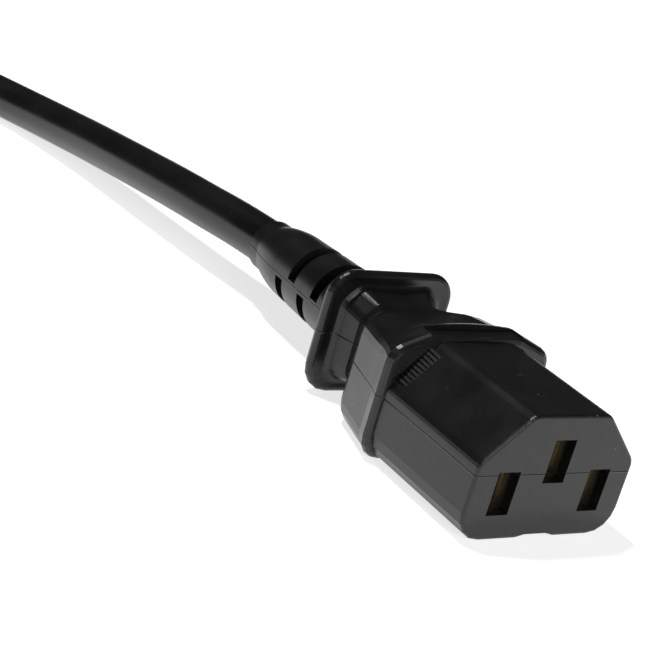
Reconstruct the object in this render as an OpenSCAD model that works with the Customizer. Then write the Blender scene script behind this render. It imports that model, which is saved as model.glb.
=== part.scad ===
// C13 power connector, moulded on a flexible three-core cord that ends in a C14 plug.
// Millimetres. +X is the way the connector mates, +Y is across it and +Z is up.
// The origin is under the middle of the connector, on the surface that it lies on.

/* [Nose] */
// Width of the nose
nose_w = 24; // [23:0.25:25]
// Height of the nose
nose_h = 16.1; // [15.6:0.1:17]
// Length of the nose, from its face to the collar
nose_l = 19; // [17:0.5:22]
// How far the slanted upper corners run, across and down
nose_slant = 6.15; // [5.5:0.05:6.6]
// Radius of the lower corners
nose_low_r = 3.6; // [2.5:0.1:4.5]
// Radius at both ends of the slanted corners
nose_edge_r = 2; // [1:0.1:2.5]
// Rounding of the rim of the face
face_edge_r = 0.4; // [0.2:0.05:0.8]
// Height of the nose's underside above the collar's
nose_lift = 0.1; // [0.05:0.05:0.5]
// Width of the shallow half moon in the face's lower edge
moon_w = 6.5; // [4:0.5:9]
// Height of the half moon
moon_h = 0.7; // [0.4:0.1:1]
// Depth of the half moon into the face
moon_l = 0.8; // [0.4:0.1:1.5]

/* [Contacts] */
// Distance between the line and neutral contacts
pole_pitch = 14; // [13.5:0.1:14.5]
// Height of the line and neutral contacts above the underside
pole_z = 6.2; // [6:0.1:6.8]
// Rise of the earth contact above the other two
earth_rise = 4; // [3.5:0.1:4.5]
// Width of a slot in the face
slot_w = 3.2; // [2.8:0.1:3.4]
// Height of a slot in the face
slot_h = 5.6; // [5:0.1:5.8]
// Thickness of the wall in front of the contact carrier
front_wall = 1.5; // [1:0.1:2.5]
// Thickness of the moulding round the contact carrier
side_wall = 1.8; // [1.5:0.1:2]
// Length of the contact carrier
carrier_l = 22; // [21:0.5:26]
// Distance of a contact behind the carrier's front
contact_set = 1; // [0.5:0.1:2]
// Length of a contact's socket
contact_l = 12; // [10:0.5:13]
// Outside width of a contact's socket
contact_w = 3.4; // [3.2:0.1:3.8]
// Outside height of a contact's socket
contact_h = 5.6; // [5.4:0.1:5.9]
// Thickness of the contacts' sheet brass
sheet = 0.6; // [0.4:0.05:0.65]
// Clearance round a contact in its pocket
pocket_gap = 0.1; // [0.05:0.05:0.2]
// Height of the spring rib inside each side of a socket
spring_h = 0.2; // [0.1:0.05:0.3]
// Length of the neck between a socket or a blade and its crimp
neck_l = 1.5; // [1:0.25:3]
// Length of the crimp on a conductor
crimp_l = 3; // [2:0.25:4]
// Length of the crimp on a core's insulation
grip_l = 2; // [1.5:0.25:3]
// Wall of both crimps
crimp_wall = 0.4; // [0.3:0.05:0.6]

/* [Collar and ledge] */
// How far the collar stands out from the nose's sides
collar_step = 0.7; // [0.4:0.1:1.2]
// Height of the collar's crown above the nose's top, at the crown's edges
collar_rise = 0.8; // [0.6:0.1:1.2]
// Height where the collar's side meets the slope to the crown
collar_side_z = 14.7; // [13.5:0.1:15.2]
// Width of the collar's crown
crown_w = 14; // [12:0.5:15]
// How much higher the crown's middle is than its edges
crown_bulge = 0.5; // [0.2:0.1:0.8]
// Radius of the collar's lower corners
collar_low_r = 3; // [2:0.25:4]
// Radius of the collar's upper corners
collar_top_r = 2.5; // [1.5:0.25:3]
// Rounding of the collar's front edge
collar_edge_r = 1; // [0.4:0.1:1.2]
// Width of the ledge let into the crown
ledge_w = 14.4; // [12:0.2:16]
// Length of the ledge
ledge_l = 2.7; // [2:0.1:3.5]
// Height of the ledge above the nose's top
ledge_rise = 0.4; // [0.2:0.1:0.5]
// Number of fine ribs on each slanted corner in front of the collar
rib_count = 10; // [6:1:12]
// Length of a rib
rib_l = 2; // [1:0.1:3]
// Height of a rib where it meets the collar
rib_h = 0.5; // [0.3:0.05:0.8]
// Width of a rib
rib_w = 0.38; // [0.2:0.02:0.4]
// Distance between two ribs
rib_pitch = 0.58; // [0.5:0.02:0.62]

/* [Grip] */
// Angle at which each side tapers back from the collar
taper_angle = 15; // [12:0.5:17]
// Length of the tapered sides
taper_l = 10; // [8:0.5:11]
// Distance of the waist behind the collar's front
waist_at = 15.4; // [14:0.2:16]
// Width of the waist
waist_w = 13.2; // [12.5:0.2:15]
// Height of the waist's underside
waist_low_z = 2.8; // [2:0.1:3]
// Height of the waist's top
waist_top_z = 14.2; // [13.6:0.1:15]
// Radius of the waist's corners
waist_r = 2.2; // [1:0.1:2.6]
// Height of the saddle's edges behind the ledge
saddle_z = 16.4; // [16:0.1:17]
// Width of the saddle between its edges
saddle_w = 12.6; // [11:0.2:14]
// Slope of the saddle down to the waist
saddle_angle = 8; // [4:0.5:10]
// Depth of the saddle's dish
saddle_dip = 0.8; // [0.3:0.1:1.2]
// Width of the finger flange
flange_w = 20; // [18:0.5:24]
// Height of the finger flange
flange_h = 17.2; // [16:0.1:18.5]
// Thickness of the finger flange at its rim
flange_t = 1.6; // [1.4:0.1:2.5]
// Distance of the flange's rim behind the collar's front
flange_at = 18.4; // [18:0.2:20]
// Corner radius of the finger flange
flange_r = 3.75; // [2:0.25:4]
// Rounding of the flange's edges
flange_edge_r = 0.7; // [0.3:0.05:0.75]
// Slope of the flare from the waist towards the flange
flare_angle = 18; // [10:1:25]
// Radius of the cove between the flare and the flange
cove_r = 1; // [0.6:0.1:1.2]
// Angle at which the flange's front leans forward
flange_lean = 8; // [2:1:12]

/* [Strain relief] */
// Radius of the segmented strain relief
relief_r = 5.7; // [5.2:0.1:6.2]
// How much narrower its rear end is, on the radius
relief_taper = 0.7; // [0:0.1:1]
// Length of the strain relief
relief_l = 28; // [26:0.5:34]
// Fillet between the relief and the flange
root_r = 1.2; // [0.6:0.1:1.8]
// Length of the rounded shoulder at the relief's end
shoulder_l = 7; // [5:0.5:8]
// Radius of the thin sleeve behind the shoulder
sleeve_r = 3.85; // [3.8:0.05:4.2]
// Length of the thin sleeve
sleeve_l = 2; // [1:0.5:4]
// Number of slots, on the top and on the underside in turn
slot_count = 4; // [2:1:4]
// Distance from the flange to the middle of the first slot
first_slot = 7.8; // [6:0.2:8.4]
// Distance between the middles of two slots
slot_pitch = 3.15; // [2.8:0.05:3.4]
// Length of a slot along the cord
slot_l = 1.9; // [1.2:0.1:2.2]
// Thickness of the skin that is left over the cord in a slot
slot_skin = 0.4; // [0.3:0.05:0.6]
// Thickness of the web between the top and lower slots
slot_web = 0.8; // [0.4:0.1:1.6]

/* [Cord] */
// Diameter of the cord
cord_d = 6.8; // [6.4:0.1:7]
// Height of the cord's middle where it leaves the strain relief
cord_z = 8.6; // [8:0.1:9]
// Diameter of a core's insulation
core_d = 2.4; // [2.2:0.05:2.5]
// Diameter of a core's copper conductor
wire_d = 1.3; // [1.1:0.05:1.4]
// Length of cord held inside the connector
cord_in = 26; // [22:0.5:27]
// Length of cord held inside the plug
plug_cord_in = 18; // [14:0.5:20]
// Length of a core that runs straight before and after its bend
core_straight = 1.5; // [1:0.25:2]

/* [Hank] */
// Length of the hank's straight runs
hank_run = 52; // [45:1:60]
// Turns that lie side by side in a run
hank_columns = 2; // [2:1:2]
// Turns that lie on each other in a run
hank_layers = 2; // [2:1:2]
// Distance between the middles of the innermost turn's two runs
hank_inner_w = 42.6; // [41:0.2:44]
// Width of the tie
tie_w = 12; // [8:1:20]
// Thickness of the tie
tie_t = 0.8; // [0.5:0.1:1]
// Clearance between the tie and the turns
tie_gap = 0.1; // [0.05:0.05:0.3]

/* [Plug] */
// Clearance between the plug's shroud and the nose that fits it
shroud_gap = 0.4; // [0.2:0.05:0.6]
// Wall of the shroud
shroud_wall = 1.8; // [1.2:0.1:2.2]
// Depth of the shroud
shroud_l = 17; // [15:0.5:19]
// Length of the plug's full width behind the shroud's floor
plug_block_l = 8; // [8:0.5:12]
// Length over which the plug narrows to its strain relief
plug_taper_l = 10; // [8:0.5:14]
// Width and height of the plug where its strain relief starts
plug_neck = 14; // [13:0.5:16]
// Thickness of the plug's pin carrier
pin_carrier_l = 6; // [5:0.5:7]
// Thickness of a pin's blade
blade_t = 2; // [1.9:0.05:2.1]
// Height of a pin's blade
blade_h = 4; // [3.8:0.1:4.2]
// Length of a pin in front of its carrier
blade_l = 15; // [13:0.5:16]
// Length of the slanted tip of a pin
tip_l = 1.2; // [0.6:0.1:2]

/* [Hidden] */

$fn = 48;
eps = 0.01;
far = 40;             // longer than anything that is cut away
corner_steps = 4;     // steps in each rounded corner of an outline
top_steps = 8;        // steps across the top of an outline
edge_steps = 3;       // steps in a rounded edge
min_r = 0.3;          // smallest corner radius of an outline
tube_sides = 12;      // sides of the cord and of its cores
core_steps = 8;       // steps in the bend of a core

pvc = [0.09, 0.09, 0.095];
resin = [0.16, 0.16, 0.17];
brass = [0.80, 0.66, 0.33];
copper = [0.78, 0.43, 0.28];
brown = [0.36, 0.20, 0.11];
blue = [0.16, 0.33, 0.66];
green = [0.25, 0.52, 0.22];
velcro = [0.13, 0.13, 0.14];

// Places along the connector
body_l = flange_at + flange_t;
face_x = (nose_l + body_l + relief_l) / 2;
collar_x = face_x - nose_l;
flange_x = collar_x - body_l;
tail_x = flange_x - relief_l;
carrier_x = face_x - front_wall;
carrier_back = carrier_x - carrier_l;
nose_top = nose_lift + nose_h;

// The three poles' places across and above the underside
LINE = [pole_pitch / 2, pole_z];
NEUTRAL = [-pole_pitch / 2, pole_z];
EARTH = [0, pole_z + earth_rise];

// The hank: its middle, and the radii of its innermost and outermost turns' middles
hank_r = hank_inner_w / 2;
hank_outer_r = hank_r + (hank_columns - 1) * cord_d;
hank_h = hank_layers * cord_d;
hank_end_x = -191.5;   // middle of the near end's bends
hank_x = hank_end_x - hank_run / 2;
hank_y = -19.8;
bundle_y = (hank_r + hank_outer_r) / 2;

// The plug lies on the run farther along -Y and on the far bends, and points along -X
plug_outer = shroud_gap + shroud_wall;
plug_axis_z = nose_h / 2 + plug_outer;
plug_x = -200;
plug_y = -37.2;
plug_z = hank_h + plug_axis_z;
plug_neck_x = relief_l;
plug_block_x = plug_neck_x + plug_taper_l;
plug_floor_x = plug_block_x + plug_block_l;
plug_front_x = plug_floor_x + shroud_l;

// The cord's route from the strain relief to the hank, and from the hank up to the plug
LEAD = [[-38, -0.5, 8.6], [-43, -1.2, 8.5], [-49, -2, 8.2], [-56, -2.7, 7.8], [-66, -3.5, 7],
        [-76, -4.2, 6.1], [-86, -5.1, 5.2], [-96, -6.6, 4.4], [-106, -8.8, 3.8], [-116, -12, 3.5],
        [-126, -16, 3.4], [-136, -20.8, 3.4], [-146, -26.2, 3.4], [-156, -31.8, 3.4], [-166, -37.5, 3.4],
        [-177.5, -44.1, 3.4], [-184.2, -46.9, 3.4], [-191.5, -47.9, 3.4]];
TAIL = [[-184.3, 7.2, 9.9], [-177.5, 4.4, 11.2], [-171.7, 0, 12.9], [-167.3, -5.8, 14.8],
        [-165, -12.6, 16.8], [-165, -19.6, 18.8], [-167.6, -26.2, 20.6], [-172.4, -31.4, 22.1],
        [-178.8, -35, 23.1], [-186, -36.9, 23.7], [-193, -37.2, 23.85]];

// Outlines across the object
// An outline is [half width, underside, height of the side's top, half width of the top, top,
// lower radius, radius at the side's top, radius at the top's ends, rise of the top's middle].
nose_outline = [nose_w / 2, nose_lift, nose_top - nose_slant, nose_w / 2 - nose_slant, nose_top,
                nose_low_r, nose_edge_r, nose_edge_r, 0];
waist_outline = [waist_w / 2, waist_low_z, waist_top_z - waist_r, waist_w / 2 - waist_r, waist_top_z,
                 waist_r, waist_r, waist_r / 2, -saddle_dip / 2];
flange_cut = flange_r * (1 - tan(22.5));
flange_outline = [flange_w / 2, 0, flange_h - flange_cut, flange_w / 2 - flange_cut, flange_h,
                  flange_r, flange_r, flange_r, 0];

function side_w(d) = nose_w / 2 + collar_step - d * tan(taper_angle);
function collar_outline(d) = [side_w(d), 0, collar_side_z, crown_w / 2, nose_top + collar_rise,
                              collar_low_r, collar_top_r, collar_top_r / 2, crown_bulge];
function saddle_outline(d) = [side_w(d), 0, collar_side_z, saddle_w / 2,
                              saddle_z - (d - ledge_l) * tan(saddle_angle),
                              collar_low_r, collar_top_r, collar_top_r / 4, -saddle_dip];

function mix(a, b, u) = a * (1 - u) + b * u;
function smooth(u) = let (v = min(max(u, 0), 1)) v * v * (3 - 2 * v);

// An outline moved inwards by e on every side
function inset(p, e) = [p[0] - e, p[1] + e, p[2] - e * tan(22.5), p[3] - e * tan(22.5), p[4] - e,
                        max(p[5] - e, min_r), max(p[6] - e, min_r), max(p[7] - e, min_r), p[8]];

// Points on the arc of radius r that rounds the corner at p between a and b
function corner(a, p, b, r) =
    let (ua = (a - p) / norm(a - p), ub = (b - p) / norm(b - p), half = acos(ua * ub) / 2,
         reach = r / tan(half), middle = p + (ua + ub) / norm(ua + ub) * r / sin(half),
         from = p + ua * reach - middle, to = p + ub * reach - middle, turn = 180 - 2 * half)
    [for (i = [0 : corner_steps]) let (t = i / corner_steps)
        middle + (from * sin((1 - t) * turn) + to * sin(t * turn)) / sin(turn)];

// The points of an outline, from the middle of the underside round by +Y
function outline_points(p) =
    let (low = [p[0], p[1]], side = [p[0], p[2]], top = [p[3], p[4]],
         right = concat(corner([0, p[1]], low, side, p[5]), corner(low, side, top, p[6]),
                        corner(side, top, [0, p[4]], p[7])),
         last = right[len(right) - 1],
         arch = [for (i = [1 : top_steps - 1]) let (t = 1 - 2 * i / top_steps)
                    [last[0] * t, last[1] + p[8] * (1 - t * t)]],
         left = [for (i = [len(right) - 1 : -1 : 0]) [-right[i][0], right[i][1]]])
    concat(right, arch, left);

function ring(x, p) = [for (q = outline_points(p)) [x, q[0], q[1]]];

// A closed solid through rings of points, each ring behind the one before
module skin(rings) {
    n = len(rings[0]);
    last = len(rings) - 1;
    walls = [for (i = [0 : last - 1], j = [0 : n - 1])
        let (a = i * n + j, b = i * n + (j + 1) % n, c = b + n, d = a + n)
        each [[a, b, c], [a, c, d]]];
    caps = [[for (j = [n - 1 : -1 : 0]) j], [for (j = [0 : n - 1]) last * n + j]];
    polyhedron([for (r = rings) each r], concat(caps, walls));
}

// A solid of one outline between two places along X
module bar(x0, x1, p) {
    translate([x0, 0, 0]) rotate([90, 0, 90]) linear_extrude(x1 - x0) polygon(outline_points(p));
}

module rod(x0, x1, d) {
    translate([x0, 0, 0]) rotate([0, 90, 0]) cylinder(h = x1 - x0, d = d);
}

module block(x0, x1, w, h) {
    translate([x0, -w / 2, -h / 2]) cube([x1 - x0, w, h]);
}

module at(pole) {
    translate([0, pole[0], pole[1]]) children();
}

// A tube of a diameter along a route
module tube(route, d) {
    n = len(route);
    way = [for (i = [0 : n - 1]) let (v = route[min(i + 1, n - 1)] - route[max(i - 1, 0)]) v / norm(v)];
    skin([for (i = [0 : n - 1]) let (side = cross([0, 0, 1], way[i]), u = side / norm(side), v = cross(way[i], u))
        [for (k = [0 : tube_sides - 1]) let (a = 360 * k / tube_sides) route[i] + d / 2 * (u * cos(a) - v * sin(a))]]);
}

// Housing: the moulding's outer form

// Outlines behind the collar's front edge, at a distance d from it
body_stations = concat([ledge_l, ledge_l + 0.5, ledge_l + 1.2, ledge_l + 2, ledge_l + 3, (ledge_l + 3 + taper_l) / 2],
                       [for (i = [0 : 6]) mix(taper_l, waist_at, i / 6)]);
function body_outline(d) =
    mix(mix(collar_outline(d), saddle_outline(d), smooth((d - ledge_l) / 3)),
        waist_outline, smooth((d - taper_l) / (waist_at - taper_l)));

// The flare from the waist, the cove and the flange's leaning front face, as
// [distance behind the collar's front, how far out from the waist]
flange_reach = (flange_w - waist_w) / 2;
cove_run = cove_r * (cos(flange_lean) - sin(flare_angle));
cove_out = cove_r * (cos(flare_angle) + sin(flange_lean));
face_out = flange_reach - flange_edge_r - cove_out + (cove_run + waist_at) * tan(flare_angle);
cove_end = (flange_at + face_out * tan(flange_lean)) / (1 + tan(flare_angle) * tan(flange_lean));
flare_end = cove_end - cove_run;
flare_out = (flare_end - waist_at) * tan(flare_angle);
flange_path = concat(
    [for (i = [1 : 3]) [mix(waist_at, flare_end, i / 4), flare_out * i / 4]],
    [for (i = [0 : 5]) let (a = mix(flare_angle, 90 + flange_lean, i / 5))
        [flare_end + cove_r * (sin(a) - sin(flare_angle)), flare_out + cove_r * (cos(flare_angle) - cos(a))]]);

// Rings that round an edge of radius r at x, where the solid starts (way = -1) or ends (way = 1)
function edge_rings(x, p, r, way) =
    [for (i = [0 : edge_steps]) let (a = 90 * (way < 0 ? i : edge_steps - i) / edge_steps)
        ring(x + way * r * (1 - cos(a)), inset(p, r * (1 - sin(a))))];

nose_rings = concat(edge_rings(face_x, nose_outline, face_edge_r, -1),
                    [ring(collar_x - collar_edge_r, nose_outline)]);
body_rings = concat(
    edge_rings(collar_x, collar_outline(0), collar_edge_r, -1),
    [for (d = body_stations) ring(collar_x - d, body_outline(d))],
    [for (p = flange_path) ring(collar_x - p[0], mix(waist_outline, flange_outline, p[1] / flange_reach))],
    edge_rings(collar_x - flange_at, flange_outline, flange_edge_r, -1),
    edge_rings(flange_x, flange_outline, flange_edge_r, 1));

// Housing: one moulding from the nose to the strain relief

module ribs() {
    slant = [nose_w / 2, nose_top - nose_slant];
    for (side = [-1, 1], i = [0 : rib_count - 1])
        translate([collar_x - eps, side * (slant[0] - nose_slant / 2), slant[1] + nose_slant / 2])
            rotate([-side * 45, 0, 0]) translate([0, (i - (rib_count - 1) / 2) * rib_pitch + rib_w / 2, 0])
                rotate([90, 0, 0]) linear_extrude(rib_w)
                    polygon([[0, -rib_h], [rib_l, -rib_h], [rib_l, 0.05], [0, rib_h]]);
}

// The round strain relief, from the flange to the end of its sleeve
module relief() {
    straight = relief_l - shoulder_l - sleeve_l;
    rear_r = relief_r - relief_taper;
    drop = rear_r - sleeve_r;
    bow = (shoulder_l * shoulder_l + drop * drop) / (2 * drop);
    turn = asin(shoulder_l / bow);
    profile = concat(
        [[0, -flange_t / 2], [relief_r + root_r, -flange_t / 2]],
        [for (i = [0 : 4]) let (a = 90 * i / 4) [relief_r + root_r * (1 - sin(a)), root_r * (1 - cos(a))]],
        [for (i = [0 : 8]) let (a = turn * i / 8) [rear_r - bow * (1 - cos(a)), straight + bow * sin(a)]],
        [[sleeve_r, relief_l], [0, relief_l]]);
    difference() {
        rotate([0, -90, 0]) rotate_extrude() polygon(profile);
        for (i = [0 : slot_count - 1]) relief_slot(first_slot + i * slot_pitch, i % 2 == 0 ? 1 : -1);
    }
}

// A slot half round the relief, over its top (way = 1) or its underside (way = -1)
module relief_slot(middle, way) {
    difference() {
        translate([-middle - slot_l / 2, -far / 2, way > 0 ? slot_web / 2 : -far - slot_web / 2])
            cube([slot_l, far, far]);
        rod(-relief_l, 0, cord_d + 2 * slot_skin);
    }
}

module housing() {
    color(pvc) difference() {
        union() {
            skin(nose_rings);
            skin(body_rings);
            ribs();
            translate([flange_x, 0, cord_z]) relief();
        }
        translate([collar_x - ledge_l, -ledge_w / 2, nose_top + ledge_rise])
            cube([ledge_l + eps, ledge_w, far]);
        moon_r = (moon_w * moon_w / 4 + moon_h * moon_h) / (2 * moon_h);
        translate([0, 0, nose_lift + moon_h - moon_r]) rod(face_x - moon_l, face_x + eps, 2 * moon_r);
        for (pole = [LINE, NEUTRAL, EARTH]) at(pole) block(carrier_x - eps, face_x + eps, slot_w, slot_h);
        bar(carrier_back, carrier_x, inset(nose_outline, side_wall));
        rod_z(tail_x - eps, tail_x + cord_in, cord_d);
        for (pole = [LINE, NEUTRAL, EARTH]) tube(contact_route(pole, carrier_back + eps), core_d);
    }
}

module rod_z(x0, x1, d) {
    translate([0, 0, cord_z]) rod(x0, x1, d);
}

// Contacts, and the rigid block that holds them

pocket_w = contact_w + 2 * pocket_gap;
pocket_h = contact_h + 2 * pocket_gap;
contact_x = carrier_x - contact_set;
contact_back = contact_x - contact_l;
crimp_x = contact_back - neck_l - crimp_l;
grip_x = crimp_x - grip_l;

module contact_carrier() {
    color(resin) difference() {
        bar(carrier_back, carrier_x, inset(nose_outline, side_wall));
        for (pole = [LINE, NEUTRAL, EARTH]) at(pole) {
            block(contact_x - eps, carrier_x + eps, slot_w, slot_h);
            block(grip_x, contact_x, pocket_w, pocket_h);
            rod(carrier_back - eps, grip_x + eps, core_d);
        }
    }
}

// The crimps behind a contact or a pin, whose back is at x
module crimps(x) {
    difference() {
        union() {
            block(x - neck_l - eps, x + eps, sheet, wire_d + crimp_wall);
            rod(x - neck_l - crimp_l, x - neck_l, wire_d + 2 * crimp_wall);
            rod(x - neck_l - crimp_l - grip_l, x - neck_l - crimp_l + eps, core_d + 2 * crimp_wall);
        }
        rod(x - neck_l - crimp_l - eps, x - neck_l - crimp_wall, wire_d);
        rod(x - neck_l - crimp_l - grip_l - eps, x - neck_l - crimp_l, core_d);
    }
}

// A folded socket with a seam on its top and a spring rib inside each side
module socket() {
    difference() {
        block(contact_back, contact_x, contact_w, contact_h);
        block(contact_back + sheet, contact_x + eps, contact_w - 2 * sheet, contact_h - 2 * sheet);
        translate([contact_back + sheet, -sheet / 4, 0]) cube([contact_l, sheet / 2, contact_h]);
    }
    for (side = [-1, 1]) translate([contact_x - contact_l / 2, side * (contact_w / 2 - sheet), 0])
        linear_extrude(contact_h / 3, center = true)
            polygon([[-contact_l / 4, 0], [contact_l / 4, 0], [contact_l / 4, side * sheet / 2],
                     [-contact_l / 4, side * sheet / 2], [-contact_l / 4, 0], [0, -side * spring_h]]);
    crimps(contact_back);
}

module line_contact() { color(brass) at(LINE) socket(); }
module neutral_contact() { color(brass) at(NEUTRAL) socket(); }
module earth_contact() { color(brass) at(EARTH) socket(); }

// Cores: each bends from its place in the cord out to its contact or pin

// Place of a pole's core round the middle of the cord
function lay(pole) = core_d / sqrt(3) * (pole[0] == 0 ? [0, 1] : [sign(pole[0]) * cos(30), -sin(30)]);

// A core's route from x0, in a cord whose middle is at height z, to a pole's grip, and on to x1
function core_route(x0, z, pole, grip, x1) =
    let (from = lay(pole) + [0, z], bend = [x0 + core_straight, grip - core_straight])
    concat([[x0, from[0], from[1]]],
           [for (i = [0 : core_steps]) let (u = i / core_steps, p = mix(from, pole, smooth(u)))
               [mix(bend[0], bend[1], u), p[0], p[1]]],
           [[x1, pole[0], pole[1]]]);

function contact_route(pole, x1, before = 0) =
    core_route(tail_x + cord_in - before, cord_z, pole, carrier_back, x1);
function pin_route(pole, x1, before = 0) = core_route(plug_cord_in - before, 0, pole, pin_grip_x, x1);

// A core's insulation ends in its grip, and the conductor runs on into the crimp
module contact_core(pole) {
    difference() {
        tube(contact_route(pole, crimp_x), core_d);
        tube(contact_route(pole, crimp_x + eps, eps), wire_d);
    }
}

module contact_wire(pole) {
    tube(contact_route(pole, crimp_x + crimp_l - crimp_wall), wire_d);
}

module line_core() { color(brown) contact_core(LINE); }
module neutral_core() { color(blue) contact_core(NEUTRAL); }
module earth_core() { color(green) contact_core(EARTH); }
module line_conductor() { color(copper) contact_wire(LINE); }
module neutral_conductor() { color(copper) contact_wire(NEUTRAL); }
module earth_conductor() { color(copper) contact_wire(EARTH); }

// Cord: its open stretches, and the solid that the hank's turns fill

module racetrack(r, h) {
    translate([hank_x, hank_y, 0]) linear_extrude(h) {
        square([hank_run, 2 * r], center = true);
        for (end = [-1, 1]) translate([end * hank_run / 2, 0]) circle(r);
    }
}

module hank_outside() { racetrack(hank_outer_r + cord_d / 2, hank_h); }

tie_y = hank_y + bundle_y;
bundle_w = hank_columns * cord_d;

module cord_lead() {
    color(pvc) difference() {
        tube(concat([[tail_x + cord_in, 0, cord_z], [tail_x, 0, cord_z]], LEAD), cord_d);
        hank_outside();
    }
}

module cord_hank() {
    color(pvc) difference() {
        union() {
            hank_outside();
            translate([hank_x - tie_w / 2, tie_y - bundle_w / 2, 0]) cube([tie_w, bundle_w, hank_h + tie_t]);
        }
        translate([0, 0, -eps]) racetrack(hank_r - cord_d / 2, far);
        round_bundle() difference() {
            translate([-far / 4, -far]) square([far / 2, 2 * far]);
            translate([0, tie_t]) bundle(0, 0);
        }
    }
}

module cord_tail() {
    color(pvc) difference() {
        tube(concat(TAIL, [[plug_x, plug_y, plug_z], [plug_x - plug_cord_in, plug_y, plug_z]]), cord_d);
        hank_outside();
    }
}

// The three cords that the tie holds: two on the floor, and the last turn on the outer one
module bundle(grow, below) {
    half = bundle_w / 2 + grow;
    top = hank_h + grow;
    slope = cord_d * (2 - sqrt(0.5)) + grow * (2 - sqrt(2));
    polygon([[-half, -below], [half, -below], [half, top], [slope - half, top], [-half, top - slope]]);
}

module round_bundle() {
    translate([hank_x - tie_w / 2, tie_y, 0]) rotate([90, 0, 90]) linear_extrude(tie_w) children();
}

// The tie, with the cords raised by its thickness
module hank_tie() {
    color(velcro) round_bundle() translate([0, tie_t]) difference() {
        bundle(tie_gap + tie_t, tie_t);
        bundle(tie_gap, 0);
    }
}

// Plug, drawn along +X from the place where the cord goes in, and then laid on the hank

module laid() {
    translate([plug_x, plug_y, plug_z]) rotate([0, 0, 180]) children();
}

// The plug's outline is the nose's, moved so that its middle is on the plug's axis
plug_drop = nose_lift + nose_h / 2;
shroud_inner = inset(nose_outline, -shroud_gap);
shroud_outer = inset(nose_outline, -plug_outer);
neck_half = plug_neck / 2;
neck_outline = [neck_half, plug_drop - neck_half, plug_drop + neck_half - waist_r, neck_half - waist_r,
                plug_drop + neck_half, waist_r, waist_r, waist_r, 0];
plug_rings = concat(
    edge_rings(plug_front_x, shroud_outer, face_edge_r, -1),
    [ring(plug_block_x, shroud_outer)],
    [for (i = [1 : 5]) ring(mix(plug_block_x, plug_neck_x, i / 5), mix(shroud_outer, neck_outline, smooth(i / 5)))]);

PLUG_LINE = LINE - [0, plug_drop];
PLUG_NEUTRAL = NEUTRAL - [0, plug_drop];
PLUG_EARTH = EARTH - [0, plug_drop];
pin_carrier_back = plug_floor_x - pin_carrier_l;

module plug_body() {
    color(pvc) laid() difference() {
        union() {
            translate([0, 0, -plug_drop]) skin(plug_rings);
            translate([relief_l, 0, 0]) relief();
        }
        translate([0, 0, -plug_drop]) {
            bar(plug_floor_x, plug_front_x + eps, shroud_inner);
            bar(pin_carrier_back, plug_floor_x + eps, inset(nose_outline, side_wall));
        }
        rod(-eps, plug_cord_in, cord_d);
        for (pole = [PLUG_LINE, PLUG_NEUTRAL, PLUG_EARTH]) tube(pin_route(pole, pin_grip_x + eps), core_d);
        for (pole = [PLUG_LINE, PLUG_NEUTRAL, PLUG_EARTH]) at(pole)
            rod(pin_grip_x, pin_carrier_back + eps, core_d + 2 * crimp_wall);
    }
}

module plug_carrier() {
    color(resin) laid() difference() {
        translate([0, 0, -plug_drop]) bar(pin_carrier_back, plug_floor_x, inset(nose_outline, side_wall));
        for (pole = [PLUG_LINE, PLUG_NEUTRAL, PLUG_EARTH]) at(pole)
            block(pin_carrier_back - eps, plug_floor_x + eps, blade_t, blade_h);
    }
}

pin_crimp_x = pin_carrier_back - neck_l - crimp_l;
pin_grip_x = pin_crimp_x - grip_l;
module pin() {
    tip = plug_floor_x + blade_l;
    rotate([90, 0, 0]) linear_extrude(blade_t, center = true)
        polygon([[pin_carrier_back, -blade_h / 2], [tip - tip_l, -blade_h / 2], [tip, -blade_h / 2 + tip_l / 2],
                 [tip, blade_h / 2 - tip_l / 2], [tip - tip_l, blade_h / 2], [pin_carrier_back, blade_h / 2]]);
    crimps(pin_carrier_back);
}

module plug_line_pin() { color(brass) laid() at(PLUG_LINE) pin(); }
module plug_neutral_pin() { color(brass) laid() at(PLUG_NEUTRAL) pin(); }
module plug_earth_pin() { color(brass) laid() at(PLUG_EARTH) pin(); }

module pin_core(pole) {
    laid() difference() {
        tube(pin_route(pole, pin_crimp_x), core_d);
        tube(pin_route(pole, pin_crimp_x + eps, eps), wire_d);
    }
}

module pin_wire(pole) {
    laid() tube(pin_route(pole, pin_crimp_x + crimp_l - crimp_wall), wire_d);
}

module plug_line_core() { color(brown) pin_core(PLUG_LINE); }
module plug_neutral_core() { color(blue) pin_core(PLUG_NEUTRAL); }
module plug_earth_core() { color(green) pin_core(PLUG_EARTH); }
module plug_line_conductor() { color(copper) pin_wire(PLUG_LINE); }
module plug_neutral_conductor() { color(copper) pin_wire(PLUG_NEUTRAL); }
module plug_earth_conductor() { color(copper) pin_wire(PLUG_EARTH); }

housing();
contact_carrier();
line_contact();
neutral_contact();
earth_contact();
line_core();
neutral_core();
earth_core();
line_conductor();
neutral_conductor();
earth_conductor();
cord_lead();
cord_hank();
cord_tail();
hank_tie();
plug_body();
plug_carrier();
plug_line_pin();
plug_neutral_pin();
plug_earth_pin();
plug_line_core();
plug_neutral_core();
plug_earth_core();
plug_line_conductor();
plug_neutral_conductor();
plug_earth_conductor();
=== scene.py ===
"""Dresses a moulded C13 connector, its cord folded into a tied hank, and the C14 plug on its end."""

import logging
import math
from dataclasses import dataclass
from enum import IntEnum

import bmesh
import bpy
from mathutils import Matrix, Vector
from mathutils.geometry import convex_hull_2d


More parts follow.
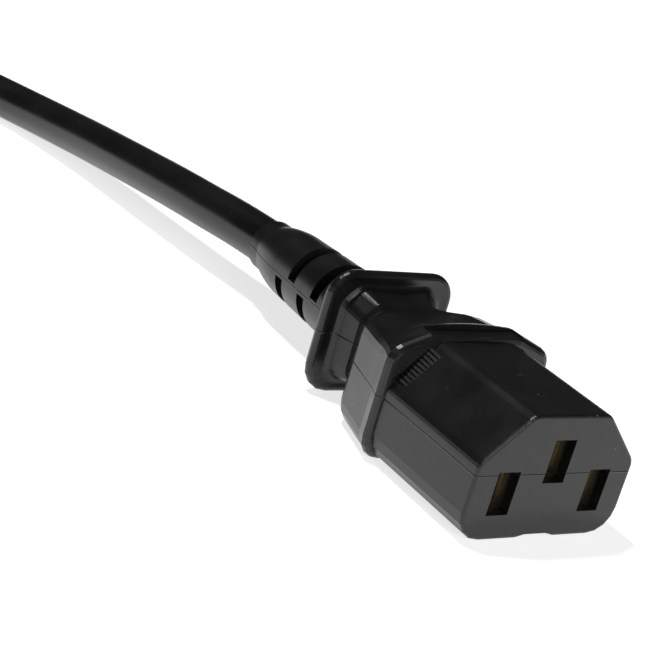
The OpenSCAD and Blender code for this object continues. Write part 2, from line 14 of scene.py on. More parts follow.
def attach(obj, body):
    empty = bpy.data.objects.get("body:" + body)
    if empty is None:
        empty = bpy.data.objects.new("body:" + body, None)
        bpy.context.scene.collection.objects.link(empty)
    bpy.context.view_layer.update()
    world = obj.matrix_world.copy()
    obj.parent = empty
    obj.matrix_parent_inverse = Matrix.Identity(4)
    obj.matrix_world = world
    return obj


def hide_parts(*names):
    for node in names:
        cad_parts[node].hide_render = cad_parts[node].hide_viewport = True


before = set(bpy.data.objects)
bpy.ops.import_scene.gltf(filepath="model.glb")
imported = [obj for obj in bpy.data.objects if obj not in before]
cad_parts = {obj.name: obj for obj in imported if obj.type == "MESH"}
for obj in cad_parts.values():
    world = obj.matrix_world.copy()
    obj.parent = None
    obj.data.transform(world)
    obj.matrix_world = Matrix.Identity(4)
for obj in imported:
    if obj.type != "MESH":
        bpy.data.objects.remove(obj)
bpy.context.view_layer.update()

MM = 0.001
LOG = logging.getLogger("connector")


def smooth(value: float) -> float:
    """Eases a value from 0 to 1.

    Args:
        value: Any number; what lies outside 0 to 1 is clamped.

    Returns:
        The eased value.
    """
    t = min(max(value, 0.0), 1.0)
    return t * t * (3.0 - 2.0 * t)


# Shader groups

DUST_SCALE = 420.0
DUST_RADIUS = 0.05
PATCH_SCALE = 150.0
PATCH_LEVEL = 0.57
SCUFF_SCALE = (2600.0, 260.0, 500.0)
SCUFF_TURN = (0.3, 0.5, 0.7)
SCUFF_LEVEL = 0.73


@dataclass(frozen=True)
class Socket:
    """A named number socket of a shader group."""

    name: str
    value: float | None = None


def add_node(tree: bpy.types.NodeTree, kind: str, **settings: object) -> bpy.types.Node:
    """Adds a node to a tree.

    Args:
        tree: The tree.
        kind: The node's type, without the ShaderNode prefix.
        **settings: Attributes to set on it.

    Returns:
        The node.
    """
    node = tree.nodes.new("ShaderNode" + kind)
    for name, value in settings.items():
        setattr(node, name, value)
    return node


def add_math(tree: bpy.types.NodeTree, operation: str, *values: object, clamp: bool = False) -> bpy.types.NodeSocket:
    """Adds a math node to a tree.

    Args:
        tree: The tree.
        operation: The node's operation.
        *values: A socket to link, or a number to set, for each input.
        clamp: Whether the result is kept within 0 to 1.

    Returns:
        The result's socket.
    """
    node = add_node(tree, "Math", operation=operation, use_clamp=clamp)
    for index, value in enumerate(values):
        if isinstance(value, bpy.types.NodeSocket):
            tree.links.new(value, node.inputs[index])
        else:
            node.inputs[index].default_value = float(value)
    return node.outputs[0]


class ShaderGroup:
    """A shader node group with named inputs and outputs."""

    def __init__(self, name: str, inputs: list[Socket], outputs: list[Socket]) -> None:
        """Makes an empty group.

        Args:
            name: The group's name.
            inputs: Its input sockets.
            outputs: Its output sockets.
        """
        self.tree = bpy.data.node_groups.new(name, "ShaderNodeTree")
        for direction, sockets in (("INPUT", inputs), ("OUTPUT", outputs)):
            for socket in sockets:
                made = self.tree.interface.new_socket(
                    socket.name, in_out=direction, socket_type="NodeSocketFloat"
                )
                if socket.value is not None:
                    made.default_value = socket.value
        self.entry = self.tree.nodes.new("NodeGroupInput").outputs
        self.exit = self.tree.nodes.new("NodeGroupOutput").inputs

    def add(self, kind: str, **settings: object) -> bpy.types.Node:
        """Adds a node.

        Args:
            kind: The node's type, without the ShaderNode prefix.
            **settings: Attributes to set on it.

        Returns:
            The node.
        """
        return add_node(self.tree, kind, **settings)

    def math(self, operation: str, *values: object, clamp: bool = False) -> bpy.types.NodeSocket:
        """Adds a math node.

        Args:
            operation: The node's operation.
            *values: A socket to link, or a number to set, for each input.
            clamp: Whether the result is kept within 0 to 1.

        Returns:
            The result's socket.
        """
        return add_math(self.tree, operation, *values, clamp=clamp)

    def link(self, start: bpy.types.NodeSocket, end: bpy.types.NodeSocket) -> None:
        """Links two sockets.

        Args:
            start: The output that feeds.
            end: The input that is fed.
        """
        self.tree.links.new(start, end)

    def noise(self, scale: object, detail: float, rough: float) -> bpy.types.NodeSocket:
        """Adds noise on object coordinates.

        Args:
            scale: The noise's scale, as a number or a socket.
            detail: Its octaves.
            rough: Its roughness.

        Returns:
            The noise's value.
        """
        where = self.add("TexCoord")
        noise = self.add("TexNoise")
        noise.inputs["Detail"].default_value = detail
        noise.inputs["Roughness"].default_value = rough
        self.link(where.outputs["Object"], noise.inputs["Vector"])
        if isinstance(scale, bpy.types.NodeSocket):
            self.link(scale, noise.inputs["Scale"])
        else:
            noise.inputs["Scale"].default_value = scale
        return noise.outputs[0]


class Effects:
    """The shader groups that several finishes use."""

    def __init__(self) -> None:
        """Builds every group."""
        self.grain = self._grain()
        self.marks = self._marks()
        self.seam = self._seam()
        self.lines = self._lines()

    @staticmethod
    def _grain() -> ShaderGroup:
        """Moulded skin: a fine texture from the tool over slow waves where the plastic shrank.

        Returns:
            The group.
        """
        group = ShaderGroup(
            "moulded grain",
            [Socket("Fine Scale", 2600.0), Socket("Slow Scale", 190.0), Socket("Slow Share", 0.6)],
            [Socket("Height"), Socket("Cloud")],
        )
        fine = group.noise(group.entry["Fine Scale"], 3.0, 0.6)
        slow = group.noise(group.entry["Slow Scale"], 2.0, 0.5)
        waves = group.math("MULTIPLY", slow, group.entry["Slow Share"])
        group.link(group.math("ADD", fine, waves), group.exit["Height"])
        group.link(slow, group.exit["Cloud"])
        return group

    @staticmethod
    def _marks() -> ShaderGroup:
        """Handling marks: sparse pale specks of dust, and short scuffs.

        Returns:
            The group.
        """
        group = ShaderGroup(
            "handling marks", [Socket("Dust", 0.5), Socket("Scuffs", 0.5)], [Socket("Specks"), Socket("Rubbed")]
        )
        where = group.add("TexCoord")
        cells = group.add("TexVoronoi", feature="F1")
        cells.inputs["Scale"].default_value = DUST_SCALE
        group.link(where.outputs["Object"], cells.inputs["Vector"])
        near = group.math("LESS_THAN", cells.outputs["Distance"], DUST_RADIUS)
        sparse = group.math("GREATER_THAN", group.noise(PATCH_SCALE, 2.0, 0.5), PATCH_LEVEL)
        specks = group.math("MULTIPLY", group.math("MULTIPLY", near, sparse), group.entry["Dust"])
        group.link(specks, group.exit["Specks"])
        stretch = group.add("Mapping")
        stretch.inputs["Scale"].default_value = SCUFF_SCALE
        stretch.inputs["Rotation"].default_value = SCUFF_TURN
        group.link(where.outputs["Object"], stretch.inputs["Vector"])
        lines = group.add("TexNoise")
        lines.inputs["Scale"].default_value = 1.0
        lines.inputs["Detail"].default_value = 1.0
        group.link(stretch.outputs["Vector"], lines.inputs["Vector"])
        thin = group.math("GREATER_THAN", lines.outputs[0], SCUFF_LEVEL)
        rubbed = group.math("MULTIPLY", group.math("MULTIPLY", thin, sparse), group.entry["Scuffs"])
        group.link(rubbed, group.exit["Rubbed"])
        return group

    @staticmethod
    def _seam() -> ShaderGroup:
        """The mould's parting line: a thin raised line at one height.

        Returns:
            The group.
        """
        group = ShaderGroup("parting line", [Socket("Level", 0.0), Socket("Half Width", 0.0001)], [Socket("Ridge")])
        where = group.add("TexCoord")
        split = group.add("SeparateXYZ")
        group.link(where.outputs["Object"], split.inputs[0])
        off = group.math("ABSOLUTE", group.math("SUBTRACT", split.outputs["Z"], group.entry["Level"]))
        share = group.math("DIVIDE", off, group.entry["Half Width"])
        group.link(group.math("SUBTRACT", 1.0, share, clamp=True), group.exit["Ridge"])
        return group

    @staticmethod
    def _lines() -> ShaderGroup:
        """Fine parallel lines along X, as rolling or weaving leaves them.

        Returns:
            The group.
        """
        group = ShaderGroup("parallel lines", [Socket("Pitch", 0.0002)], [Socket("Height")])
        where = group.add("TexCoord")
        split = group.add("SeparateXYZ")
        group.link(where.outputs["Object"], split.inputs[0])
        both = group.math("ADD", split.outputs["Y"], split.outputs["Z"])
        turns = group.math("DIVIDE", both, group.entry["Pitch"])
        wave = group.math("SINE", group.math("MULTIPLY", turns, math.tau))
        group.link(group.math("MULTIPLY_ADD", wave, 0.5, 0.5), group.exit["Height"])
        return group


# Finishes


@dataclass(frozen=True)
class Colour:
    """A linear colour."""

    red: float
    green: float
    blue: float

    def rgba(self) -> tuple[float, float, float, float]:
        """The colour with full alpha.

        Returns:
            Its four channels.
        """
        return (self.red, self.green, self.blue, 1.0)

    def times(self, gain: float) -> "Colour":
        """The colour brightened.

        Args:
            gain: The factor on each channel.

        Returns:
            The new colour.
        """
        return Colour(self.red * gain, self.green * gain, self.blue * gain)


class Surface:
    """A material under construction, around one Principled shader."""

    def __init__(self, name: str) -> None:
        """Makes a material with a Principled shader.

        Args:
            name: The material's name.
        """
        self.material = bpy.data.materials.new(name)
        self.material.use_nodes = True
        self.tree = self.material.node_tree
        self.shader = self.tree.nodes["Principled BSDF"]

    def group(self, group: ShaderGroup, **values: float) -> dict[str, bpy.types.NodeSocket]:
        """Places a shared group.

        Args:
            group: The group.
            **values: Its inputs' values, with underscores for spaces in their names.

        Returns:
            The group's output sockets by name.
        """
        node = self.tree.nodes.new("ShaderNodeGroup")
        node.node_tree = group.tree
        for name, value in values.items():
            node.inputs[name.replace("_", " ")].default_value = value
        return {socket.name: socket for socket in node.outputs}

    def mix(self, amount: bpy.types.NodeSocket, low: object, high: Colour) -> bpy.types.NodeSocket:
        """Mixes two colours.

        Args:
            amount: The share of the second one.
            low: The first one, as a Colour or a socket.
            high: The second one.

        Returns:
            The mixed colour.
        """
        node = add_node(self.tree, "Mix", data_type="RGBA")
        if isinstance(low, Colour):
            node.inputs[6].default_value = low.rgba()
        else:
            self.tree.links.new(low, node.inputs[6])
        node.inputs[7].default_value = high.rgba()
        self.tree.links.new(amount, node.inputs[0])
        return node.outputs[2]

    def spread(self, value: bpy.types.NodeSocket, low: float, high: float) -> bpy.types.NodeSocket:
        """Maps a mask's middle range onto a range of values.

        Args:
            value: The mask.
            low: The result at 0.3.
            high: The result at 0.7.

        Returns:
            The mapped value.
        """
        node = add_node(self.tree, "MapRange")
        for name, number in (("From Min", 0.3), ("From Max", 0.7), ("To Min", low), ("To Max", high)):
            node.inputs[name].default_value = number
        self.tree.links.new(value, node.inputs["Value"])
        return node.outputs["Result"]

    def bump(
        self, height: bpy.types.NodeSocket, depth: float, below: bpy.types.NodeSocket | None = None
    ) -> bpy.types.NodeSocket:
        """Adds a bump.

        Args:
            height: The height, from 0 to 1.
            depth: The bump's depth in metres.
            below: The normal that it adds to, if any.

        Returns:
            The bumped normal.
        """
        node = add_node(self.tree, "Bump")
        node.inputs["Strength"].default_value = 1.0
        node.inputs["Distance"].default_value = depth
        self.tree.links.new(height, node.inputs["Height"])
        if below is not None:
            self.tree.links.new(below, node.inputs["Normal"])
        return node.outputs["Normal"]

    def feed(self, **sockets: object) -> None:
        """Links or sets the shader's inputs.

        Args:
            **sockets: A socket to link, or a value to set, for each input, with underscores for spaces.
        """
        for name, value in sockets.items():
            target = self.shader.inputs[name.replace("_", " ")]
            if isinstance(value, bpy.types.NodeSocket):
                self.tree.links.new(value, target)
            else:
                target.default_value = value


@dataclass(frozen=True)
class MouldedPlastic:
    """A moulded plastic, with its skin, dust, scuffs and parting line."""

    name: str
    colour: Colour
    roughness: float
    depth: float = 0.000012
    slow_scale: float = 190.0
    dust: float = 0.5
    scuffs: float = 0.3
    seam_level: float | None = None
    seam_half_width: float = 0.00011
    seam_depth: float = 0.00005
    mottle: float = 0.035
    scuff_roughness: float = 0.25

    def build(self, effects: Effects) -> bpy.types.Material:
        """Makes the material.

        Args:
            effects: The shared groups.

        Returns:
            The material.
        """
        surface = Surface(self.name)
        grain = surface.group(effects.grain, Slow_Scale=self.slow_scale)
        marks = surface.group(effects.marks, Dust=self.dust, Scuffs=self.scuffs)
        base = surface.mix(surface.spread(grain["Cloud"], 0.0, 1.0), self.colour.times(0.8), self.colour.times(1.25))
        base = surface.mix(marks["Specks"], base, DUST)
        base = surface.mix(marks["Rubbed"], base, SCUFF)
        rough = surface.spread(grain["Cloud"], self.roughness - self.mottle, self.roughness + self.mottle)
        rough = add_math(surface.tree, "MULTIPLY_ADD", marks["Rubbed"], self.scuff_roughness, rough, clamp=True)
        normal = surface.bump(grain["Height"], self.depth)
        if self.seam_level is not None:
            seam = surface.group(effects.seam, Level=self.seam_level, Half_Width=self.seam_half_width)
            normal = surface.bump(seam["Ridge"], self.seam_depth, normal)
        surface.feed(Base_Color=base, Roughness=rough, Normal=normal)
        return surface.material


@dataclass(frozen=True)
class SheetMetal:
    """A rolled metal with drawing lines and slight tarnish."""

    name: str
    colour: Colour
    tarnish: Colour
    roughness: float
    depth: float = 0.000004

    def build(self, effects: Effects) -> bpy.types.Material:
        """Makes the material.

        Args:
            effects: The shared groups.

        Returns:
            The material.
        """
        surface = Surface(self.name)
        grain = surface.group(effects.grain, Fine_Scale=3200.0, Slow_Scale=420.0, Slow_Share=0.4)
        lines = surface.group(effects.lines)
        normal = surface.bump(grain["Height"], self.depth)
        surface.feed(
            Base_Color=surface.mix(surface.spread(grain["Cloud"], 0.0, 0.7), self.colour, self.tarnish),
            Roughness=surface.spread(grain["Cloud"], self.roughness, self.roughness + 0.15),
            Normal=surface.bump(lines["Height"], self.depth, normal),
            Metallic=1.0,
        )
        return surface.material


@dataclass(frozen=True)
class HookAndLoop:
    """A woven strap with a soft loop pile."""

    name: str
    colour: Colour
    depth: float = 0.00012

    def build(self, effects: Effects) -> bpy.types.Material:
        """Makes the material.

        Args:
            effects: The shared groups.

        Returns:
            The material.
        """
        surface = Surface(self.name)
        pile = surface.group(effects.grain, Fine_Scale=1500.0, Slow_Scale=420.0, Slow_Share=0.5)
        weave = surface.group(effects.lines, Pitch=0.0007)
        normal = surface.bump(weave["Height"], self.depth * 0.4)
        surface.feed(
            Base_Color=surface.mix(surface.spread(pile["Height"], 0.0, 1.0), self.colour, self.colour.times(2.2)),
            Roughness=surface.spread(pile["Cloud"], 0.75, 0.95),
            Normal=surface.bump(pile["Height"], self.depth, normal),
            Sheen_Weight=0.35,
        )
        return surface.material


Finish = MouldedPlastic | SheetMetal | HookAndLoop

BLACK = Colour(0.0105, 0.0105, 0.011)
WHITE = Colour(1.0, 1.0, 1.0)
DUST = Colour(0.32, 0.31, 0.29)
SCUFF = Colour(0.10, 0.10, 0.10)
CONNECTOR_PVC = MouldedPlastic("connector_pvc", BLACK, 0.29, seam_level=8.56 * MM)
PLUG_PVC = MouldedPlastic("plug_pvc", BLACK, 0.29, seam_level=23.85 * MM)
SHEATH_PVC = MouldedPlastic(
    "sheath_pvc", Colour(0.009, 0.009, 0.0094), 0.25, depth=0.000006, slow_scale=120.0, dust=0.25, scuffs=0.2
)
CARRIER_RESIN = MouldedPlastic("carrier_resin", Colour(0.03, 0.03, 0.032), 0.45, dust=0.0, scuffs=0.0)
BROWN_CORE = MouldedPlastic("brown_core_pvc", Colour(0.10, 0.035, 0.014), 0.4, dust=0.0, scuffs=0.0)
BLUE_CORE = MouldedPlastic("blue_core_pvc", Colour(0.02, 0.10, 0.42), 0.4, dust=0.0, scuffs=0.0)
GREEN_CORE = MouldedPlastic("green_core_pvc", Colour(0.05, 0.26, 0.05), 0.4, dust=0.0, scuffs=0.0)
CONTACT_BRASS = SheetMetal("contact_brass", Colour(0.78, 0.57, 0.23), Colour(0.42, 0.28, 0.11), 0.22)
BLADE_NICKEL = SheetMetal("blade_nickel", Colour(0.66, 0.63, 0.58), Colour(0.45, 0.42, 0.38), 0.2)
WIRE_COPPER = SheetMetal("wire_copper", Colour(0.80, 0.38, 0.20), Colour(0.45, 0.18, 0.09), 0.25)
STRAP = HookAndLoop("strap_pile", Colour(0.012, 0.012, 0.013))

INSULATION = {"line": BROWN_CORE, "neutral": BLUE_CORE, "earth": GREEN_CORE}


class Wardrobe:
    """Builds each finish once, and hands out its material."""

    def __init__(self) -> None:
        """Builds the shared groups."""
        self.effects = Effects()
        self.made: dict[str, bpy.types.Material] = {}

    def dress(self, piece: bpy.types.Object, finish: Finish) -> None:
        """Gives a piece one finish all over.

        Args:
            piece: The piece.
            finish: The finish.
        """
        if finish.name not in self.made:
            self.made[finish.name] = finish.build(self.effects)
        slots = piece.data.materials
        if not slots:
            slots.append(self.made[finish.name])
        for index in range(len(slots)):
            slots[index] = self.made[finish.name]


# Moulded ends


def wires(prefix: str) -> dict[str, Finish]:
    """The finishes of the cores and conductors in one end of the cord.

    Args:
        prefix: What that end's node names start with.

    Returns:
        A finish for each node's name.
    """
    cores = {f"{prefix}{pole}_core": core for pole, core in INSULATION.items()}
    return cores | {f"{prefix}{pole}_conductor": WIRE_COPPER for pole in INSULATION}


@dataclass(frozen=True)
class MouldedEnd:
    """One end of the cord: a moulding, a carrier, metal parts and wires."""

    finishes: dict[str, Finish]

    def nodes(self) -> list[bpy.types.Object]:
        """The end's nodes.

        Returns:
            The nodes in the order of their finishes.
        """
        return [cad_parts[name] for name in self.finishes]

    def dress(self, wardrobe: Wardrobe) -> None:
        """Gives each of the end's nodes its finish.

        Args:
            wardrobe: The wardrobe that holds the materials.
        """
        for node, finish in zip(self.nodes(), self.finishes.values()):
            wardrobe.dress(node, finish)
            LOG.info("%s in %s", node.name, finish.name)


class Connector(MouldedEnd):
    """The connector: moulded housing, carrier, and a brass contact behind each slot."""

    def __init__(self) -> None:
        """Names the finishes."""
        contacts = {f"{pole}_contact": CONTACT_BRASS for pole in INSULATION}
        super().__init__({"housing": CONNECTOR_PVC, "contact_carrier": CARRIER_RESIN} | contacts | wires(""))


class Plug(MouldedEnd):
    """The plug on the cord's other end: moulding with shroud, carrier and three blades."""

    def __init__(self) -> None:
        """Names the finishes."""
        blades = {f"plug_{pole}_pin": BLADE_NICKEL for pole in INSULATION}
        super().__init__({"plug_body": PLUG_PVC, "plug_carrier": CARRIER_RESIN} | blades | wires("plug_"))


# Cord


class Stretch(IntEnum):
    """The four stretches of a turn, in the order in which the cord runs through them."""

    FAR_RUN = 0
    FAR_BEND = 1
    NEAR_RUN = 2
    NEAR_BEND = 3


@dataclass(frozen=True)
class Hank:
    """The cord's turns: racetracks in two columns and two layers."""

    run: float = 52.0
    near_x: float = -191.5
    middle_y: float = -19.8
    inner_r: float = 21.3
    cord: float = 6.8
    tie_lift: float = 0.8
    tie_half: float = 6.0
    tie_ease: float = 9.0
    bend_steps: int = 14
    run_steps: int = 10

    @property
    def outer_r(self) -> float:
        """The outer column's bend radius, in millimetres."""
        return self.inner_r + self.cord

    @property
    def floor_z(self) -> float:
        """The lower layer's height, in millimetres."""
        return self.cord / 2

    @property
    def top_z(self) -> float:
        """The upper layer's height, in millimetres."""
        return self.cord * 1.5

    @property
    def tie_x(self) -> float:
        """The tie's place along the hank, in millimetres."""
        return self.near_x - self.run / 2

    def turns(self) -> list[Vector]:
        """The middle line of every turn, from the start of the far side's run to the last near side's.

        Returns:
            Points in millimetres.
        """
        out, inner, low, high = self.outer_r, self.inner_r, self.floor_z, self.top_z
        rise = high - low
        stages = [
            (lambda t: out, lambda t: low),
            (lambda t: out, lambda t: low),
            (lambda t: out, lambda t: low),
            (lambda t: out - self.cord * smooth(t / 0.75), lambda t: low),
            (lambda t: inner, lambda t: low),
            (lambda t: inner, lambda t: low),
            (lambda t: inner, lambda t: low + rise * 0.5 * max(0.0, (t - 0.7) / 0.3) ** 1.5),
            (lambda t: inner, lambda t: low + rise * (0.5 + 0.5 * math.sin(math.pi / 2 * min(t / 0.5, 1.0)))),
            (lambda t: inner, lambda t: high),
            (lambda t: inner + self.cord * smooth(t), lambda t: high),
            (lambda t: out, lambda t: high),
        ]
        points: list[Vector] = []
        for number, (radius, height) in enumerate(stages):
            stretch = Stretch(number % len(Stretch))
            steps = self.bend_steps if stretch in (Stretch.FAR_BEND, Stretch.NEAR_BEND) else self.run_steps
            for step in range(steps):
                t = step / steps
                points.append(self._place(stretch, t, radius(t), height(t)))
        return points

    def _place(self, stretch: Stretch, t: float, radius: float, height: float) -> Vector:
        """A point on one stretch of a turn.

        Args:
            stretch: The stretch.
            t: How far along the stretch, from 0 to 1.
            radius: The turn's distance from the hank's middle line.
            height: The height.

        Returns:
            The point in millimetres.
        """
        far_x = self.near_x - self.run
        angle = math.pi * t
        if stretch is Stretch.FAR_RUN:
            return Vector((self.near_x - self.run * t, self.middle_y - radius, height))
        if stretch is Stretch.FAR_BEND:
            return Vector((far_x - radius * math.sin(angle), self.middle_y - radius * math.cos(angle), height))
        if stretch is Stretch.NEAR_RUN:
            x = far_x + self.run * t
            off = abs(x - self.tie_x) - self.tie_half
            return Vector((x, self.middle_y + radius, height + self.tie_lift * (1.0 - smooth(off / self.tie_ease))))
        return Vector((self.near_x + radius * math.sin(angle), self.middle_y + radius * math.cos(angle), height))


@dataclass(frozen=True)
class Cord:
    """The cord, from inside the connector, through the hank, to inside the plug."""

    diameter: float = 6.8
    length: float = 1.0
    exit_x: float = -33.5
    exit_z: float = 8.6
    held: float = 26.0
    plug: tuple[float, float, float] = (-200.0, -37.2, 23.85)
    plug_held: float = 18.0
    between: int = 3
    lead: tuple[tuple[float, float, float], ...] = (
        (-38, -0.5, 8.6), (-43, -1.2, 8.5), (-49, -2, 8.2), (-56, -2.7, 7.8), (-66, -3.5, 7),
        (-76, -4.2, 6.1), (-86, -5.1, 5.2), (-96, -6.6, 4.4), (-106, -8.8, 3.8), (-116, -12, 3.5),
        (-126, -16, 3.4), (-136, -20.8, 3.4), (-146, -26.2, 3.4), (-156, -31.8, 3.4), (-166, -37.5, 3.4),
        (-177.5, -44.1, 3.4), (-184.2, -46.9, 3.4),
    )
    tail: tuple[tuple[float, float, float], ...] = (
        (-184.3, 7.2, 10.4), (-177.5, 4.4, 11.2), (-171.7, 0, 12.9), (-167.3, -5.8, 14.8),
        (-165, -12.6, 16.8), (-165, -19.6, 18.8), (-167.6, -26.2, 20.6), (-172.4, -31.4, 22.1),
        (-178.8, -35, 23.1), (-186, -36.9, 23.7), (-193, -37.2, 23.85),
    )

    def route(self, hank: Hank) -> list[Vector]:
        """The cord's middle line.

        Args:
            hank: The hank that it is folded into.

        Returns:
            Points in metres.
        """
        start = [Vector((self.exit_x + self.held * t, 0.0, self.exit_z)) for t in (1.0, 0.7, 0.35, 0.0)]
        entry = Vector(self.plug)
        end = [entry - Vector((self.plug_held * t, 0.0, 0.0)) for t in (0.0, 0.5, 1.0)]
        near = hank.turns() + [Vector((hank.near_x, hank.middle_y + hank.outer_r, hank.top_z))]
        knots = start + [Vector(p) for p in self.lead] + near + [Vector(p) for p in self.tail] + end
        return [point * MM for point in self._through(knots)]

    def _through(self, knots: list[Vector]) -> list[Vector]:
        """A smooth line through points.

        Args:
            knots: The points.

        Returns:
            The points of a Catmull-Rom line through them.
        """
        line: list[Vector] = []
        for index in range(len(knots) - 1):
            before, a, b, after = (knots[min(max(index + k, 0), len(knots) - 1)] for k in (-1, 0, 1, 2))
            reach = (b - a).length
            slope_a = (b - before).normalized() * reach
            slope_b = (after - a).normalized() * reach
            for step in range(self.between):
                t = step / self.between
                square, cube = t * t, t * t * t
                line.append(
                    (2 * cube - 3 * square + 1) * a
                    + (cube - 2 * square + t) * slope_a
                    + (3 * square - 2 * cube) * b
                    + (cube - square) * slope_b
                )
        return [*line, knots[-1]]

    def build(self, hank: Hank) -> bpy.types.Object:
        """Makes the cord.

        Args:
            hank: The hank that it is folded into.

        Returns:
            A curve of one open spline.
        """
        points = self.route(hank)
        curve = bpy.data.curves.new("cord", "CURVE")
        curve.dimensions = "3D"
        curve.bevel_depth = 1.0
        curve.bevel_resolution = 10
        curve.use_fill_caps = True
        spline = curve.splines.new("POLY")
        spline.points.add(len(points) - 1)
        for knot, point in zip(spline.points, points):
            knot.co = (*point, 1.0)
            knot.radius = self.diameter * MM / 2
        spline.use_smooth = True
        cord = bpy.data.objects.new("cord", curve)
        bpy.context.scene.collection.objects.link(cord)
        return cord


def new_piece(name: str, mesh: bmesh.types.BMesh) -> bpy.types.Object:
    """Turns a bmesh into an object at the origin.

    Args:
        name: The piece's name.
        mesh: Its bmesh, which is freed.

    Returns:
        The object.
    """
    data = bpy.data.meshes.new(name)
    mesh.to_mesh(data)
    mesh.free()
    piece = bpy.data.objects.new(name, data)
    bpy.context.scene.collection.objects.link(piece)
    return piece


@dataclass(frozen=True)
class Tie:
    """A hook and loop strap drawn round the three cords of the hank's near run."""

    width: float = 12.0
    thickness: float = 0.8
    slack: float = 0.05
    circle_steps: int = 24

    def _outline(self, hank: Hank) -> list[tuple[float, float]]:
        """The strap's inner line round the cords.

        Args:
            hank: The hank.

        Returns:
            Points across the hank, in millimetres.
        """
        grow = hank.cord / 2 + self.slack
        out, inner = hank.middle_y + hank.outer_r, hank.middle_y + hank.inner_r
        low, high = hank.floor_z + hank.tie_lift, hank.top_z + hank.tie_lift
        points = [
            Vector((y + grow * math.cos(a), z + grow * math.sin(a)))
            for y, z in ((out, low), (inner, low), (out, high))
            for a in (math.tau * k / self.circle_steps for k in range(self.circle_steps))
        ]
        return [(points[i].x, points[i].y) for i in convex_hull_2d(points)]

    def build(self, hank: Hank) -> bpy.types.Object:
        """Makes the strap.

        Args:
            hank: The hank that it ties.

        Returns:
            The strap.
        """
        mesh = bmesh.new()
        low_x = hank.tie_x - self.width / 2
        verts = [mesh.verts.new((low_x * MM, y * MM, z * MM)) for y, z in self._outline(hank)]
        ring = [mesh.edges.new((verts[i - 1], verts[i])) for i in range(len(verts))]
        made = bmesh.ops.extrude_edge_only(mesh, edges=ring)["geom"]
        moved = [v for v in made if isinstance(v, bmesh.types.BMVert)]
        bmesh.ops.translate(mesh, verts=moved, vec=(self.width * MM, 0, 0))
        bmesh.ops.recalc_face_normals(mesh, faces=mesh.faces)
        bmesh.ops.solidify(mesh, geom=list(mesh.faces), thickness=-(self.thickness - self.slack) * MM)
        bmesh.ops.recalc_face_normals(mesh, faces=mesh.faces)
        strap = new_piece("hank_strap", mesh)
        strap.data.shade_smooth()
        strap.data.set_sharp_from_angle(angle=math.radians(40.0))
        return strap


class Lead:
    """The whole object: connector, cord, hank, tie and plug."""

    def __init__(self) -> None:
        """Prepares the finishes and the sub-assemblies."""
        self.wardrobe = Wardrobe()
        self.connector = Connector()
        self.plug = Plug()
        self.hank = Hank()
        self.cord = Cord()
        self.tie = Tie()

    def make_cord(self) -> None:
        cord = self.cord.build(self.hank)
        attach(cord, "root")
        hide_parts("cord_lead", "cord_hank", "cord_tail")
        self.wardrobe.dress(cord, SHEATH_PVC)
        strap = self.tie.build(self.hank)
        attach(strap, "root")
        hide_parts("hank_tie")
        self.wardrobe.dress(strap, STRAP)
        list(self.plug.nodes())
        LOG.info("cord of %.0f mm made", self.cord.length / MM)

    def dress_ends(self) -> None:
        """Gives every node of both ends its finish."""
        self.connector.dress(self.wardrobe)
        self.plug.dress(self.wardrobe)


# Studio


@dataclass(frozen=True)
class Lamp:
    """A softbox that looks at the connector."""

    name: str
    place: tuple[float, float, float]
    size: float
    watts: float


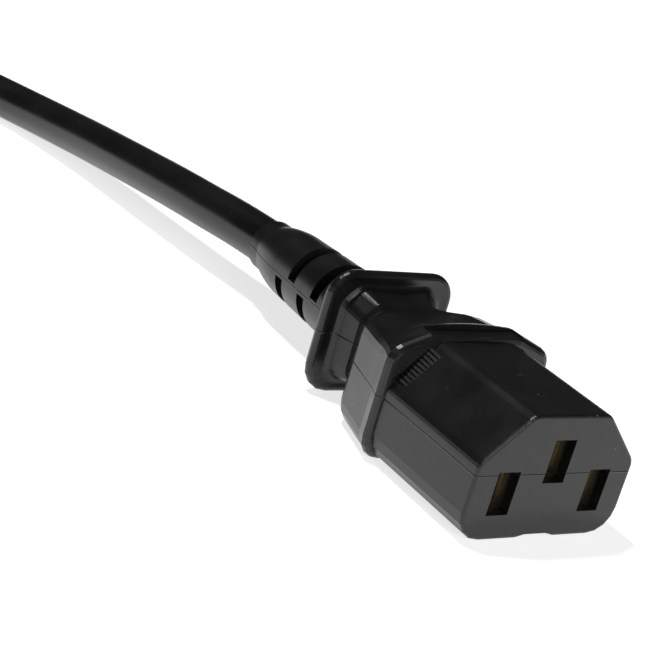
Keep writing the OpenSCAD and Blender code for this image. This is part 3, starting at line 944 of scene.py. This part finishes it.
@dataclass(frozen=True)
class Studio:
    """Floor, world, lamps and camera."""

    floor_half: float = 6.0
    horizon_grey: float = 0.5
    ceiling_grey: float = 0.03
    ceiling_from: float = 0.1
    floor_grey: float = 0.8
    floor_glow: float = 0.75
    aim: tuple[float, float, float] = (0.0, 0.0, 0.01)
    lamps: tuple[Lamp, ...] = (
        Lamp("key_softbox", (-0.24, -0.2, 0.85), 0.09, 4.0),
        Lamp("fill_softbox", (1.0, -0.2, 0.5), 0.5, 4.0),
    )
    camera_place: tuple[float, float, float] = (0.1602, -0.13573, 0.08393)
    camera_right: tuple[float, float, float] = (0.51096, 0.81855, 0.26247)
    camera_up: tuple[float, float, float] = (-0.42692, -0.02337, 0.90399)
    camera_back: tuple[float, float, float] = (0.74610, -0.57396, 0.33751)
    lens: float = 95.04

    def camera(self) -> None:
        """Makes the camera."""
        data = bpy.data.cameras.new("camera")
        data.lens = self.lens
        data.sensor_width = 36.0
        data.clip_start = 0.01
        camera = bpy.data.objects.new("camera", data)
        turn = Matrix((self.camera_right, self.camera_up, self.camera_back)).transposed().to_4x4()
        camera.matrix_world = Matrix.Translation(self.camera_place) @ turn
        bpy.context.scene.collection.objects.link(camera)
        bpy.context.scene.camera = camera

    def floor(self) -> None:
        """Makes the pale floor."""
        mesh = bmesh.new()
        bmesh.ops.create_grid(mesh, x_segments=1, y_segments=1, size=self.floor_half)
        floor = new_piece("floor", mesh)
        surface = Surface("floor_paper")
        rays = add_node(surface.tree, "LightPath")
        seen = add_math(surface.tree, "MAXIMUM", rays.outputs["Is Camera Ray"], rays.outputs["Is Glossy Ray"])
        surface.feed(
            Base_Color=WHITE.times(self.floor_grey).rgba(),
            Roughness=0.9,
            Specular_IOR_Level=0.0,
            Emission_Color=WHITE.rgba(),
            Emission_Strength=add_math(surface.tree, "MULTIPLY", seen, self.floor_glow),
        )
        floor.data.materials.append(surface.material)

    def world(self) -> None:
        """Makes a white horizon under a dark ceiling, plain white to the camera."""
        world = bpy.data.worlds.new("studio")
        bpy.context.scene.world = world
        world.use_nodes = True
        tree = world.node_tree
        where = add_node(tree, "TexCoord")
        split = add_node(tree, "SeparateXYZ")
        tree.links.new(where.outputs["Generated"], split.inputs[0])
        ramp = add_node(tree, "ValToRGB")
        low, high = ramp.color_ramp.elements
        low.position, low.color = 0.0, WHITE.times(self.horizon_grey).rgba()
        high.position, high.color = self.ceiling_from, WHITE.times(self.ceiling_grey).rgba()
        tree.links.new(split.outputs["Z"], ramp.inputs["Fac"])
        rays = add_node(tree, "LightPath")
        mix = add_node(tree, "Mix", data_type="RGBA")
        mix.inputs[7].default_value = WHITE.rgba()
        tree.links.new(rays.outputs["Is Camera Ray"], mix.inputs[0])
        tree.links.new(ramp.outputs["Color"], mix.inputs[6])
        background = tree.nodes["Background"]
        tree.links.new(mix.outputs[2], background.inputs["Color"])

    def light(self) -> None:
        """Hangs the softboxes."""
        for lamp in self.lamps:
            data = bpy.data.lights.new(lamp.name, "AREA")
            data.shape = "DISK"
            data.size = lamp.size
            data.energy = lamp.watts
            light = bpy.data.objects.new(lamp.name, data)
            way = Vector(self.aim) - Vector(lamp.place)
            light.matrix_world = Matrix.Translation(lamp.place) @ way.to_track_quat("-Z", "Y").to_matrix().to_4x4()
            bpy.context.scene.collection.objects.link(light)

    def build(self) -> None:
        """Sets up everything but the camera."""
        self.floor()
        self.world()
        self.light()
        bpy.context.scene.view_settings.view_transform = "Standard"


def write_sizes() -> None:
    """Updates the view layer."""
    bpy.context.view_layer.update()


def main() -> None:
    """Builds the scene in order."""
    logging.basicConfig(level=logging.INFO)
    studio = Studio()
    studio.camera()
    lead = Lead()
    lead.make_cord()
    lead.dress_ends()
    studio.build()
    write_sizes()


if __name__ == "__main__":
    main()
